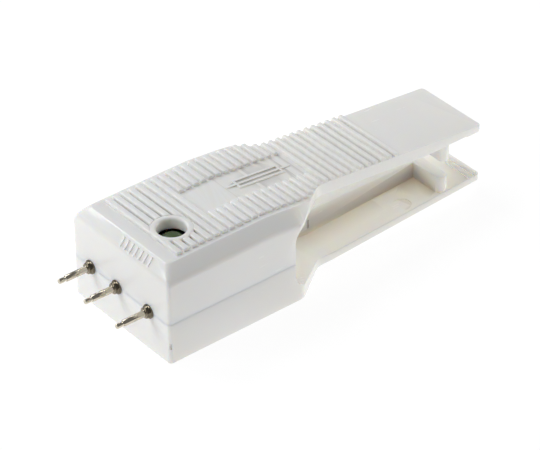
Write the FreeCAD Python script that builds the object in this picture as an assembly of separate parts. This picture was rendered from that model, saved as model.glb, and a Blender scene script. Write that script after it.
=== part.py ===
"""Pocket tester and puller for automotive blade fuses.
Millimetres, +Z up. The origin is on the flat base, under the middle of the case.
The probes point to -X, and the gripping jaws to +X."""

import FreeCAD
import Part
import math
import os

# Case.
front_x = -11.0
rear_x = 9.3
case_half_width = 10.0
case_top_z = 13.9
seam_z = 6.0
chamfer_start_z = 12.15
front_chamfer = 1.45
side_chamfer = 1.8
corner_radius = 0.6
wall = 1.5
roof = 1.3
floor_thickness = 1.1
room_top_z = 11.4
roof_room_half_width = 6.6

# How far cutting shapes reach past the case.
beyond = 15.0

# Plan of the neck between the case and the handle: a corner, a straight slant and a hollow.
neck_start_x = 10.0
neck_turn_deg = 36.0
neck_corner_radius = 2.0
neck_hollow_radius = 3.0
handle_half_width = 5.9
tip_x = 44.7

# Upper side: flat, then sloping down to the jaw's tip.
slope_start_x = 6.0
slope = 0.096
jaw_thickness = 1.7
jaw_under_z = 9.4
jaw_bend = 2.6
flexure_x = 13.45
flexure_gap = 0.3

# Lower side: flat, then rising to the tip.
rise_start_x = 19.0
rise_slope = 0.054
lower_jaw_thickness = 1.0
floor_ramp = [(0.0, 4.6), (0.1, 3.7), (0.35, 3.0), (0.8, 2.5), (1.7, 2.1), (3.7, 1.7), (6.7, 1.3), (9.7, 1.1)]

# Ribs across the upper side.
rib_count = 32
rib_pitch = 1.2
first_rib_x = front_x + 3.4
rib_height = 0.45
case_rib_length = 0.85
handle_rib_length = 0.6
rib_margin = 0.7

# Blank recessed panel with a raised fuse symbol in it.
panel_x = (1.0, 17.9)
panel_half_width = 2.9
symbol_height = 0.25
symbol_half_length = 2.6
symbol_half_width = 1.1
symbol_bar_half_length = 4.6
symbol_line = 0.4

# Raised bar near the front of the top, measured from the front face.
bar_x = (1.2, 2.0)
bar_y = (0.0, 3.4)

# Lamp window.
lamp_x = front_x + 6.2
lamp_y = -2.8
window_radius = 2.0
window_ring_radius = 2.9
window_ring_height = 0.45
lamp_radius = 1.65
lamp_head = 0.85
lamp_flange_radius = 1.95
lamp_base_z = 8.2
lamp_flange = 1.0
lamp_height = 5.0

# Walls between the jaws, which stop the squeeze, and the tips' grip edges.
web_y = (-0.5, 1.5)
web_top_z = 5.0
lower_stop_x = (37.5, 39.3)
lower_stop_half_width = 5.8
lower_stop_z = 4.5
upper_stop_x = (38.1, 39.6)
upper_stop_half_width = 5.7
upper_stop_z = 6.7
lip_length = 2.3
lip_height = 0.4
tooth_from_tip = (1.0, 1.9)
tooth_length = 0.4
tooth_height = 0.25

# Probes: a fixed barrel with a sprung tip in it.
probe_places = {"regular": 6.35, "mini": 0.8, "common": -5.8}
flange_radius = 0.98
flange_length = 0.25
hub_radius = 0.75
hub_end = 0.77
barrel_radius = 0.45
barrel_bore_radius = 0.365
barrel_front = 4.0
press_radius = 0.52
barrel_tail = 5.2
tip_radius = 0.34
tip_reach = 1.05
tip_inside = 1.4
spring_radius = 0.29
spring_wire_radius = 0.05

# Inside.
board_x = (-7.6, 7.3)
board_half_width = 7.9
board_z = (3.8, 4.8)
cell_radius = 5.0
cell_height = 2.5
cell_x = 1.9
clip_thickness = 0.25
lead_radius = 0.22
lead_pitch = 2.54


def vec(x, y, z):
    return FreeCAD.Vector(x, y, z)


def block(x0, x1, y0, y1, z0, z1):
    return Part.makeBox(x1 - x0, y1 - y0, z1 - z0, vec(x0, y0, z0))


def rod(x, y, z, radius, length, direction):
    return Part.makeCylinder(radius, length, vec(x, y, z), direction)


def tube(x, y, z, outer, inner, length, direction):
    return rod(x, y, z, outer, length, direction).cut(rod(x, y, z, inner, length, direction))


def arc_through(centre, radius, start_deg, end_deg, z):
    """An arc in plan, from one angle to the other about its centre."""
    def place(deg):
        a = math.radians(deg)
        return vec(centre[0] + radius * math.cos(a), centre[1] + radius * math.sin(a), z)
    return Part.Arc(place(start_deg), place((start_deg + end_deg) / 2), place(end_deg)).toShape()


def line(a, b):
    return Part.LineSegment(a, b).toShape()


def neck_run(half_width):
    """Where the slant starts, where it ends, and where the handle starts."""
    turn = math.radians(neck_turn_deg)
    fall = (1 - math.cos(turn)) * (neck_corner_radius + neck_hollow_radius)
    slant = (half_width - handle_half_width - fall) / math.tan(turn)
    first = neck_start_x + neck_corner_radius * math.sin(turn)
    return first, first + slant, first + slant + neck_hollow_radius * math.sin(turn)


def neck_edges(half_width, z):
    """The neck's side: a rounded corner, a straight slant and a hollow."""
    slant_x, hollow_x, end_x = neck_run(half_width)
    corner = (neck_start_x, half_width - neck_corner_radius)
    hollow = (end_x, handle_half_width + neck_hollow_radius)
    first = arc_through(corner, neck_corner_radius, 90, 90 - neck_turn_deg, z)
    last = arc_through(hollow, neck_hollow_radius, 270 - neck_turn_deg, 270, z)
    slant = line(first.Vertexes[-1].Point, last.Vertexes[0].Point)
    return [first, slant, last], end_x


def plan_wire(z):
    """The outline seen from above: case, neck and handle."""
    half_width = case_half_width
    neck, end_x = neck_edges(half_width, z)
    near = [
        line(vec(front_x, 0, z), vec(front_x, half_width - corner_radius, z)),
        arc_through((front_x + corner_radius, half_width - corner_radius), corner_radius, 180, 90, z),
        line(vec(front_x + corner_radius, half_width, z), vec(neck_start_x, half_width, z)),
    ]
    near += neck
    near.append(line(vec(end_x, handle_half_width, z), vec(tip_x, handle_half_width, z)))
    near.append(line(vec(tip_x, handle_half_width, z), vec(tip_x, 0, z)))
    far = [edge.mirror(vec(0, 0, 0), vec(0, 1, 0)) for edge in reversed(near)]
    return Part.Wire(Part.__sortEdges__(near + far))


def top_z(x):
    return case_top_z - slope * max(0.0, x - slope_start_x)


def under_z(x):
    """Underside of the upper jaw."""
    return max(jaw_under_z, top_z(x) - jaw_thickness)


def base_z(x):
    return rise_slope * max(0.0, x - rise_start_x)


def profile(points, half_width):
    """A side outline in X and Z, extruded across the whole width."""
    corners = [vec(x, -half_width, z) for x, z in points]
    wire = Part.makePolygon(corners + [corners[0]])
    return Part.Face(wire).extrude(vec(0, 2 * half_width, 0))


def fillet_points(x, z, radius, start_deg, end_deg, count=5):
    """Points round a concave corner in the side outline."""
    found = []
    for i in range(count):
        a = math.radians(start_deg + (end_deg - start_deg) * i / (count - 1))
        found.append((x + radius * math.cos(a), z + radius * math.sin(a)))
    return found


def chamfer_cutter():
    """What the three chamfers round the top take off."""
    high = case_top_z + 2
    rise = case_top_z - chamfer_start_z
    start_x = front_x - beyond
    length = tip_x - front_x + 2 * beyond
    slants = []
    for side in (-1, 1):
        edge = side * case_half_width
        inner = side * (case_half_width - side_chamfer)
        outer = side * (case_half_width + beyond)
        points = [vec(start_x, edge, chamfer_start_z), vec(start_x, inner, case_top_z)]
        points += [vec(start_x, inner, high), vec(start_x, outer, high), vec(start_x, outer, chamfer_start_z)]
        slants.append(Part.Face(Part.makePolygon(points + points[:1])).extrude(vec(length, 0, 0)))
    foot = (front_x - 0.001, chamfer_start_z)
    slope_end = (front_x + front_chamfer * (high - chamfer_start_z) / rise, high)
    front = profile([foot, slope_end, (start_x, high), (start_x, chamfer_start_z)], beyond)
    return slants[0].fuse(slants[1]).fuse(front)


def case_plan_solid():
    """The full casing's outside before the side outline trims it."""
    solid = Part.Face(plan_wire(0)).extrude(vec(0, 0, case_top_z))
    return solid.cut(chamfer_cutter())


def upper_profile():
    """Side outline of the upper casing: case, then the sprung handle."""
    knee_x = slope_start_x + (case_top_z - jaw_thickness - jaw_under_z) / slope
    points = [(front_x, seam_z), (front_x, case_top_z), (slope_start_x, case_top_z)]
    points += [(tip_x, top_z(tip_x)), (tip_x, jaw_under_z), (knee_x, jaw_under_z)]
    bend_x = rear_x + jaw_bend
    points += fillet_points(bend_x, under_z(bend_x) - jaw_bend, jaw_bend, 90, 180, 9)
    points.append((rear_x, seam_z))
    return profile(points, case_half_width + 1)


def lower_profile():
    """Side outline of the lower casing: case, then the fixed jaw."""
    points = [(front_x, 0), (front_x, seam_z), (rear_x, seam_z)]
    points += [(rear_x + x, z) for x, z in floor_ramp]
    points += [(tip_x, base_z(tip_x) + lower_jaw_thickness)]
    points += [(tip_x, base_z(tip_x)), (rise_start_x, 0)]
    return profile(points, case_half_width + 1)


def stop_wall(wall_x, half_width, low_z, high_z):
    """A cross wall between the jaws, with rounded ends."""
    thick = wall_x[1] - wall_x[0]
    middle = (wall_x[0] + wall_x[1]) / 2
    straight = half_width - thick / 2
    wall_solid = block(wall_x[0], wall_x[1], -straight, straight, low_z, high_z)
    for side in (-1, 1):
        end = rod(middle, side * straight, low_z, thick / 2, high_z - low_z, vec(0, 0, 1))
        wall_solid = wall_solid.fuse(end)
    return wall_solid.removeSplitter()


def plan_half_width(x):
    """Half the width of the outline at this x."""
    slant_x, hollow_x, end_x = neck_run(case_half_width)
    if x < slant_x:
        return case_half_width
    if x > end_x:
        return handle_half_width
    if x > hollow_x:
        rest = end_x - x
        return handle_half_width + neck_hollow_radius - math.sqrt(neck_hollow_radius ** 2 - rest ** 2)
    fall = neck_corner_radius * (1 - math.cos(math.radians(neck_turn_deg)))
    return case_half_width - fall - (x - slant_x) * math.tan(math.radians(neck_turn_deg))


def rib_span(x):
    """Half the length of the rib at this x, inside the chamfered edge."""
    return min(case_half_width - side_chamfer - rib_margin, plan_half_width(x))


def ribs(low_x, high_x):
    """The grip ribs between two places, raised from the sloping top."""
    found = []
    neck_length = neck_run(case_half_width)[2] - neck_start_x
    for i in range(rib_count):
        x0 = first_rib_x + i * rib_pitch
        on_handle = min(1.0, max(0.0, (x0 - neck_start_x) / neck_length))
        x1 = x0 + case_rib_length + (handle_rib_length - case_rib_length) * on_handle
        if x0 < low_x or x1 > high_x:
            continue
        span = rib_span(x1)
        edge = 0.12
        points = [(x0, top_z(x0) - 0.1), (x0, top_z(x0) + rib_height - edge)]
        points += [(x0 + edge, top_z(x0) + rib_height), (x1 - edge, top_z(x1) + rib_height)]
        points += [(x1, top_z(x1) + rib_height - edge), (x1, top_z(x1) - 0.1)]
        rib = profile(points, span)
        lamp_gap = rod(lamp_x, lamp_y, 0, window_ring_radius, 20, vec(0, 0, 1))
        panel = block(*panel_x, -panel_half_width, panel_half_width, 0, 20)
        found.append(rib.cut(lamp_gap).cut(panel))
    return found


def fuse_symbol():
    """A plain rectangle with a line through it, on the recessed panel."""
    middle = (panel_x[0] + panel_x[1]) / 2
    low = top_z(middle + symbol_bar_half_length) - 0.05
    high = case_top_z + symbol_height
    x, y = symbol_half_length, symbol_half_width
    outer = block(middle - x, middle + x, -y, y, low, high)
    x -= symbol_line
    y -= symbol_line
    inner = block(middle - x, middle + x, -y, y, low, high)
    reach = symbol_bar_half_length
    bar = block(middle - reach, middle + reach, -symbol_line / 2, symbol_line / 2, low, high)
    under = profile([(front_x, 0), (front_x, high), (slope_start_x, high),
                     (tip_x, top_z(tip_x) + symbol_height), (tip_x, 0)], case_half_width)
    return outer.cut(inner).fuse(bar).common(under)


def upper_casing():
    """The whole upper moulding, before it is parted at the flexure."""
    solid = case_plan_solid().common(upper_profile())
    high = case_top_z - roof
    inner = case_half_width - wall
    room = block(front_x + wall, rear_x - wall, -inner, inner, seam_z, room_top_z)
    half = roof_room_half_width
    room = room.fuse(block(front_x + wall + 0.6, rear_x - wall, -half, half, room_top_z - 0.4, high))
    solid = solid.cut(room)
    direction = vec(0, 0, 1)
    ring = rod(lamp_x, lamp_y, high, window_ring_radius, roof + window_ring_height, direction)
    window = rod(lamp_x, lamp_y, high - 1, window_radius, roof + 3, direction)
    bar = block(front_x + bar_x[0], front_x + bar_x[1], *bar_y, case_top_z - 0.6, case_top_z + 0.02)
    pieces = ribs(front_x, tip_x) + [ring, bar, fuse_symbol()]
    solid = solid.fuse(pieces[0].multiFuse(pieces[1:])).cut(window)
    solid = solid.fuse(stop_wall(upper_stop_x, upper_stop_half_width, upper_stop_z, jaw_under_z + 0.2))
    lip = block(tip_x - lip_length, tip_x, -handle_half_width, handle_half_width,
                jaw_under_z - lip_height, jaw_under_z + 0.2)
    return solid.fuse(lip).removeSplitter()


def probe_hole(y):
    return rod(front_x - 1, y, seam_z, press_radius, wall + 2, vec(1, 0, 0))


def upper_parts():
    whole = upper_casing()
    for y in probe_places.values():
        whole = whole.cut(probe_hole(y))
    near_x = flexure_x - flexure_gap / 2
    far_x = flexure_x + flexure_gap / 2
    half = case_half_width + beyond
    high = case_top_z + beyond
    shell = whole.common(block(front_x - beyond, near_x, -half, half, 0, high))
    jaw = whole.common(block(far_x, tip_x + beyond, -half, half, 0, high))
    return shell, jaw


def web():
    """The long wall down the middle of the fixed jaw."""
    end_x = lower_stop_x[0] + 0.3
    points = [(rear_x - 0.2, 0.5), (rear_x - 0.2, web_top_z), (end_x, lower_stop_z)]
    points += [(end_x, base_z(end_x) + 0.5), (rise_start_x, 0.5)]
    corners = [vec(x, web_y[0], z) for x, z in points]
    wire = Part.makePolygon(corners + corners[:1])
    return Part.Face(wire).extrude(vec(0, web_y[1] - web_y[0], 0))


def lower_shell():
    solid = case_plan_solid().common(lower_profile())
    inner = case_half_width - wall
    solid = solid.cut(block(front_x + wall, rear_x - wall, -inner, inner, floor_thickness, seam_z))
    solid = solid.fuse(web())
    wall_foot = base_z(lower_stop_x[0]) + 0.5
    solid = solid.fuse(stop_wall(lower_stop_x, lower_stop_half_width, wall_foot, lower_stop_z))
    for back in tooth_from_tip:
        x = tip_x - back
        top = base_z(x) + lower_jaw_thickness
        solid = solid.fuse(block(x, x + tooth_length, -handle_half_width, handle_half_width,
                                 top - 0.3, top + tooth_height))
    for x in (board_x[0] + 1.0, board_x[1] - 1.0):
        for y in (1.0 - board_half_width, board_half_width - 1.0):
            post = rod(x, y, floor_thickness - 0.2, 0.8, board_z[0] - floor_thickness + 0.2, vec(0, 0, 1))
            solid = solid.fuse(post)
    for y in probe_places.values():
        solid = solid.cut(probe_hole(y))
    return solid.removeSplitter()


def circuit_board():
    board = block(*board_x, -board_half_width, board_half_width, *board_z)
    for y in lamp_lead_places():
        board = board.cut(rod(lamp_x, y, board_z[0] - 1, lead_radius, 3, vec(0, 0, 1)))
    return board


def lamp_lead_places():
    return (lamp_y - lead_pitch / 2, lamp_y + lead_pitch / 2)


def lamp():
    up = vec(0, 0, 1)
    body = rod(lamp_x, lamp_y, lamp_base_z, lamp_flange_radius, lamp_flange, up)
    stem = rod(lamp_x, lamp_y, lamp_base_z, lamp_radius, lamp_height, up)
    top_edge = [edge for edge in stem.Edges if edge.BoundBox.ZMin > lamp_base_z + lamp_height - 0.01]
    return body.fuse(stem.makeFillet(lamp_head, top_edge)).removeSplitter()


def lamp_leads():
    low = board_z[0] - 0.6
    return [rod(lamp_x, y, low, lead_radius, lamp_base_z - low, vec(0, 0, 1)) for y in lamp_lead_places()]


def lamp_solder():
    joints = []
    for y in lamp_lead_places():
        cone = Part.makeCone(0.55, 0.3, 0.5, vec(lamp_x, y, board_z[0]), vec(0, 0, -1))
        joints.append(cone.cut(rod(lamp_x, y, board_z[0] - 1, lead_radius, 2, vec(0, 0, 1))))
    return joints


def coin_cell():
    low = board_z[1] + clip_thickness
    can = rod(cell_x, 0, low + 0.3, cell_radius, cell_height - 0.3, vec(0, 0, 1))
    return can.fuse(rod(cell_x, 0, low, cell_radius - 0.7, 0.3, vec(0, 0, 1))).removeSplitter()


def battery_pad():
    return rod(cell_x, 0, board_z[1], 3.0, clip_thickness, vec(0, 0, 1))


def battery_clip():
    """A springy bridge over the cell, with two feet on the board."""
    cell_top = board_z[1] + clip_thickness + cell_height
    reach = cell_radius + 0.6
    bridge = block(cell_x - 1.5, cell_x + 1.5, -reach, reach, cell_top, cell_top + clip_thickness)
    for side in (-1, 1):
        inner, outer = sorted((side * reach, side * (reach - clip_thickness)))
        bridge = bridge.fuse(block(cell_x - 1.5, cell_x + 1.5, inner, outer, board_z[1], cell_top))
        inner, outer = sorted((side * (reach - clip_thickness), side * (reach + 1.2)))
        foot = block(cell_x - 1.5, cell_x + 1.5, inner, outer, board_z[1], board_z[1] + clip_thickness)
        bridge = bridge.fuse(foot)
    return bridge.removeSplitter()


def resistor():
    x = board_x[0] + 1.6
    return block(x - 0.6, x + 0.6, -1.3, -0.1, board_z[1], board_z[1] + 0.5)


def probe_barrel(y):
    """Barrel with a flange against the case and a thicker part pressed into it."""
    along = vec(1, 0, 0)
    start = front_x - barrel_front
    barrel = tube(start, y, seam_z, barrel_radius, barrel_bore_radius, barrel_front, along)
    barrel = barrel.fuse(rod(front_x, y, seam_z, press_radius, wall, along))
    barrel = barrel.fuse(rod(front_x, y, seam_z, barrel_radius * 0.8, barrel_tail, along))
    flange = tube(front_x - flange_length, y, seam_z, flange_radius, barrel_radius, flange_length, along)
    hub_length = hub_end - flange_length
    hub = Part.makeCone(hub_radius, hub_radius + 0.06, hub_length, vec(front_x - hub_end, y, seam_z), along)
    hub = hub.cut(rod(front_x - hub_end - 1, y, seam_z, barrel_radius, hub_length + 2, along))
    return barrel.fuse(flange).fuse(hub).removeSplitter()


def probe_tip(y):
    """The plunger, with a rounded nose."""
    mouth = front_x - barrel_front
    along = vec(1, 0, 0)
    nose_x = mouth - tip_reach + tip_radius
    stem = rod(nose_x, y, seam_z, tip_radius, mouth + tip_inside - nose_x, along)
    return stem.fuse(Part.makeSphere(tip_radius, vec(nose_x, y, seam_z))).removeSplitter()


def probe_spring(y):
    """The coil behind the plunger, as one closed tube of the coil's size."""
    start = front_x - barrel_front + tip_inside
    inner = spring_radius - 2 * spring_wire_radius
    return tube(start, y, seam_z, spring_radius, inner, front_x - start, vec(1, 0, 0))


def probe_solder():
    """Solder between the barrels' tails and the board."""
    joints = []
    for y in probe_places.values():
        x1 = front_x + barrel_tail - 0.1
        x0 = x1 - 1.4
        lump = block(x0, x1, y - 0.45, y + 0.45, board_z[1], seam_z)
        joints.append(lump.cut(rod(x0 - 1, y, seam_z, barrel_radius * 0.8, 4, vec(1, 0, 0))))
    return joints


def save(name, shape):
    Part.Shape(shape).exportStep("parts/" + name + ".step")
    box = shape.BoundBox
    print(name, shape.isValid(), len(shape.Solids), "%.1f mm3" % shape.Volume,
          "%.2f..%.2f" % (box.XMin, box.XMax), "%.2f..%.2f" % (box.YMin, box.YMax),
          "%.2f..%.2f" % (box.ZMin, box.ZMax))


os.makedirs("parts", exist_ok=True)
shell, jaw = upper_parts()
save("upper_shell", shell)
save("upper_jaw", jaw)
save("lower_shell", lower_shell())
save("circuit_board", circuit_board())
save("led", lamp())
save("led_leads", Part.makeCompound(lamp_leads()))
save("led_solder", Part.makeCompound(lamp_solder()))
save("coin_cell", coin_cell())
save("battery_pad", battery_pad())
save("battery_clip", battery_clip())
save("resistor", resistor())
save("probe_solder", Part.makeCompound(probe_solder()))
for place, y in probe_places.items():
    save("probe_barrel_" + place, probe_barrel(y))
    save("probe_tip_" + place, probe_tip(y))
    save("probe_spring_" + place, probe_spring(y))
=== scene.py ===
import math

import bpy
from mathutils import Matrix, Vector


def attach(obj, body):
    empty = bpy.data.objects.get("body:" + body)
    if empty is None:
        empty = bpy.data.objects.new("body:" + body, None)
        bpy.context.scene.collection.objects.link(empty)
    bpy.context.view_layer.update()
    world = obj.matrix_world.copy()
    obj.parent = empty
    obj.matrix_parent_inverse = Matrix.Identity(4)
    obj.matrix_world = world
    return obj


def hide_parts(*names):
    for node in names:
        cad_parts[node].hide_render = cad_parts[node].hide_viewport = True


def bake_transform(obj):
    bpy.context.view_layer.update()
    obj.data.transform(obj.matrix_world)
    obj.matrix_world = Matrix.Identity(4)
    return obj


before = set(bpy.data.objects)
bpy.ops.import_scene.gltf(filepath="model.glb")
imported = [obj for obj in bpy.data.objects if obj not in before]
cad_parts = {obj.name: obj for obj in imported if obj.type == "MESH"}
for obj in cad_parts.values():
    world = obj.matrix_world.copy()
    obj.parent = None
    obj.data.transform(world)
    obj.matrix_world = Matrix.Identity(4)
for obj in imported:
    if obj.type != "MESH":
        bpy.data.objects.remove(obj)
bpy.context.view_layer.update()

# Pieces are modelled in millimetres and brought down to metres when they are finished.
mm = 0.001
tiny = 1e-3  # how close two places count as the same, in millimetres


def deselectAll():
    active = bpy.context.view_layer.objects.active
    if active and active.mode != "OBJECT":
        bpy.ops.object.mode_set(mode="OBJECT")
    bpy.ops.object.select_all(action="DESELECT")


def activate(piece):
    deselectAll()
    piece.select_set(True)
    bpy.context.view_layer.objects.active = piece


def applyPlace(piece):
    activate(piece)
    bpy.ops.object.transform_apply(location=True, rotation=True, scale=True)


def addBlock(name, low, high, turn=0.0):
    deselectAll()
    middle = [(a + b) / 2 for a, b in zip(low, high)]
    bpy.ops.mesh.primitive_cube_add(size=1, location=middle, rotation=(0, turn, 0))
    piece = bpy.context.object
    piece.name = name
    piece.scale = [b - a for a, b in zip(low, high)]
    applyPlace(piece)
    return piece


def addRod(name, start, radius, length, turn=(0, 0, 0), sides=48):
    # The rod starts at start and runs up, or the way turn leans it.
    deselectAll()
    bpy.ops.mesh.primitive_cylinder_add(vertices=sides, radius=radius, depth=length, location=(0, 0, 0))
    piece = bpy.context.object
    piece.name = name
    piece.data.transform(Matrix.Translation((0, 0, length / 2)))
    piece.rotation_euler = turn
    piece.location = start
    applyPlace(piece)
    return piece


def addTurned(name, start, outline, turn=(0, 0, 0), sides=40):
    # A disc drawn out ring by ring: outline gives each ring's height and radius.
    deselectAll()
    firstHigh, firstRadius = outline[0]
    bpy.ops.mesh.primitive_circle_add(vertices=sides, radius=firstRadius, fill_type="NGON",
                                      location=(0, 0, 0))
    piece = bpy.context.object
    piece.name = name
    bpy.ops.object.mode_set(mode="EDIT")
    bpy.ops.mesh.select_mode(type="FACE")
    bpy.ops.mesh.select_all(action="SELECT")
    high, radius = firstHigh, firstRadius
    for nextHigh, nextRadius in outline[1:]:
        bpy.ops.mesh.extrude_region_move(TRANSFORM_OT_translate={"value": (0, 0, nextHigh - high)})
        share = nextRadius / radius
        bpy.ops.transform.resize(value=(share, share, 1), center_override=(0, 0, 0))
        high, radius = nextHigh, nextRadius
    bpy.ops.mesh.select_all(action="SELECT")
    bpy.ops.mesh.normals_make_consistent(inside=False)
    leave()
    piece.data.transform(Matrix.Translation((0, 0, firstHigh)))
    piece.rotation_euler = turn
    piece.location = start
    applyPlace(piece)
    return piece


def pick(piece, kind, test):
    # Leaves the piece in edit mode with only the matching vertices or edges selected.
    activate(piece)
    bpy.ops.object.mode_set(mode="EDIT")
    bpy.ops.mesh.select_mode(type=kind)
    bpy.ops.mesh.select_all(action="DESELECT")
    bpy.ops.object.mode_set(mode="OBJECT")
    mesh = piece.data
    if kind == "VERT":
        for v in mesh.vertices:
            v.select = test(v.co)
    if kind == "EDGE":
        for e in mesh.edges:
            a, b = (mesh.vertices[i].co for i in e.vertices)
            e.select = test(a, b)
    bpy.ops.object.mode_set(mode="EDIT")


def leave():
    bpy.ops.object.mode_set(mode="OBJECT")


def cutLine(piece, place, normal):
    activate(piece)
    bpy.ops.object.mode_set(mode="EDIT")
    bpy.ops.mesh.select_all(action="SELECT")
    bpy.ops.mesh.bisect(plane_co=place, plane_no=normal)
    leave()


def moveVerts(piece, test, by):
    pick(piece, "VERT", test)
    bpy.ops.transform.translate(value=by)
    leave()


def scaleVerts(piece, test, factor, centre):
    pick(piece, "VERT", test)
    bpy.ops.transform.resize(value=factor, center_override=centre)
    leave()


def bevelEdges(piece, test, width, segments=3):
    pick(piece, "EDGE", test)
    bpy.ops.mesh.bevel(offset=width, segments=segments, affect="EDGES", clamp_overlap=True)
    leave()


def bevelSharp(piece, width, segments=2, angle=30):
    activate(piece)
    rounding = piece.modifiers.new("rounding", "BEVEL")
    rounding.width = width
    rounding.segments = segments
    rounding.limit_method = "ANGLE"
    rounding.angle_limit = math.radians(angle)
    bpy.ops.object.modifier_apply(modifier=rounding.name)


def bevelWeighted(piece, weigh, segments=3):
    # weigh gives each sharp edge its own radius in millimetres.
    sharpTurn = math.radians(20)
    mesh = piece.data
    mesh.update()
    weights = mesh.attributes.get("bevel_weight_edge")
    if not weights:
        weights = mesh.attributes.new("bevel_weight_edge", "FLOAT", "EDGE")
    meeting = {}
    for f in mesh.polygons:
        for key in f.edge_keys:
            meeting.setdefault(key, []).append(f.normal.copy())
    values = []
    for e in mesh.edges:
        a, b = (mesh.vertices[i].co for i in e.vertices)
        normals = meeting.get(tuple(sorted(e.vertices)), [])
        sharp = len(normals) == 2 and normals[0].angle(normals[1], 0) > sharpTurn
        values.append(weigh(a, b) if sharp else 0.0)
    weights.data.foreach_set("value", values)
    activate(piece)
    rounding = piece.modifiers.new("rounding", "BEVEL")
    rounding.width = 1.0
    rounding.segments = segments
    rounding.limit_method = "WEIGHT"
    rounding.use_clamp_overlap = True
    bpy.ops.object.modifier_apply(modifier=rounding.name)


def combine(piece, other, operation):
    activate(piece)
    cut = piece.modifiers.new("cut", "BOOLEAN")
    cut.operation = operation
    cut.object = other
    cut.solver = "EXACT"
    bpy.ops.object.modifier_apply(modifier=cut.name)
    bpy.data.objects.remove(other)


def joinAll(name, pieces):
    deselectAll()
    for p in pieces:
        p.select_set(True)
    bpy.context.view_layer.objects.active = pieces[0]
    if len(pieces) > 1:
        bpy.ops.object.join()
    pieces[0].name = name
    return pieces[0]


def finishPiece(piece, material, body, replaced, angle=32):
    # Down to metres, shaded, and riding on its body.
    piece.scale = (mm, mm, mm)
    applyPlace(piece)
    bpy.ops.object.shade_smooth_by_angle(angle=math.radians(angle))
    piece.data.materials.clear()
    piece.data.materials.append(material)
    if body:
        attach(piece, body)
    if replaced:
        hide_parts(*replaced)
    print(piece.name, len(piece.data.polygons), "faces")
    return piece


case = {
    "frontX": -11.0, "rearX": 9.3, "halfWidth": 10.0, "topZ": 13.9, "seamZ": 6.0,
    "chamferHigh": 1.75, "frontChamfer": 1.45, "sideChamfer": 1.8, "cornerRadius": 0.55,
    "wall": 1.5, "roof": 1.3, "floor": 1.1, "edge": 0.25, "seamEdge": 0.09, "roomChamfer": 1.4,
}
neck = {"startX": 10.0, "turn": 36.0, "cornerRadius": 2.0, "hollowRadius": 3.0, "arcSteps": 4}
jaw = {
    "halfWidth": 5.9, "tipX": 44.7, "slopeX": 6.0, "slope": 0.096, "thick": 1.7, "underZ": 9.4,
    "bend": 2.6, "edge": 0.32, "rimEdge": 0.5, "tipRadius": 0.5, "cutsX": (23.0, 28.0, 33.0, 38.0, 41.5),
}


def topZ(x):
    return case["topZ"] - jaw["slope"] * max(0.0, x - jaw["slopeX"])


def underZ(x):
    # The underside of the sprung jaw.
    return max(jaw["underZ"], topZ(x) - jaw["thick"])


def neckRun():
    # Where the slant starts, where it ends, and where the handle starts.
    turn = math.radians(neck["turn"])
    fall = (1 - math.cos(turn)) * (neck["cornerRadius"] + neck["hollowRadius"])
    slant = (case["halfWidth"] - jaw["halfWidth"] - fall) / math.tan(turn)
    first = neck["startX"] + neck["cornerRadius"] * math.sin(turn)
    return first, first + slant, first + slant + neck["hollowRadius"] * math.sin(turn)


def neckWidth(x):
    # Half the width of the outline at this x.
    slantX, hollowX, endX = neckRun()
    if x <= neck["startX"]:
        return case["halfWidth"]
    if x >= endX:
        return jaw["halfWidth"]
    corner, hollow = neck["cornerRadius"], neck["hollowRadius"]
    if x < slantX:
        return case["halfWidth"] - corner + math.sqrt(corner ** 2 - (x - neck["startX"]) ** 2)
    if x > hollowX:
        return jaw["halfWidth"] + hollow - math.sqrt(hollow ** 2 - (endX - x) ** 2)
    turn = math.radians(neck["turn"])
    return case["halfWidth"] - corner * (1 - math.cos(turn)) - (x - slantX) * math.tan(turn)


def neckStations():
    # Where the neck is cut across, so that it can be narrowed there.
    slantX, hollowX, endX = neckRun()
    found = []
    for x0, x1, steps in ((neck["startX"], slantX, neck["arcSteps"]), (slantX, hollowX, 2),
                          (hollowX, endX, neck["arcSteps"])):
        found += [x0 + (x1 - x0) * i / steps for i in range(steps)]
    return found + [endX]


def topWidth(x):
    # Half the width of the flat top between the side chamfers.
    return min(case["halfWidth"] - case["sideChamfer"], neckWidth(x))


def chamferZ(x):
    # Where the chamfer meets the side; it dies out along the neck.
    share = (neckWidth(x) - topWidth(x)) / case["sideChamfer"]
    return topZ(x) - max(0.3, case["chamferHigh"] * share)


def near(a, b):
    return abs(a - b) < tiny


def tipCorner(a, b):
    # The upright corners at a jaw's tip.
    return min(a.x, b.x) > jaw["tipX"] - tiny and abs(a.z - b.z) > 0.25 and min(abs(a.y), abs(b.y)) > 3


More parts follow.
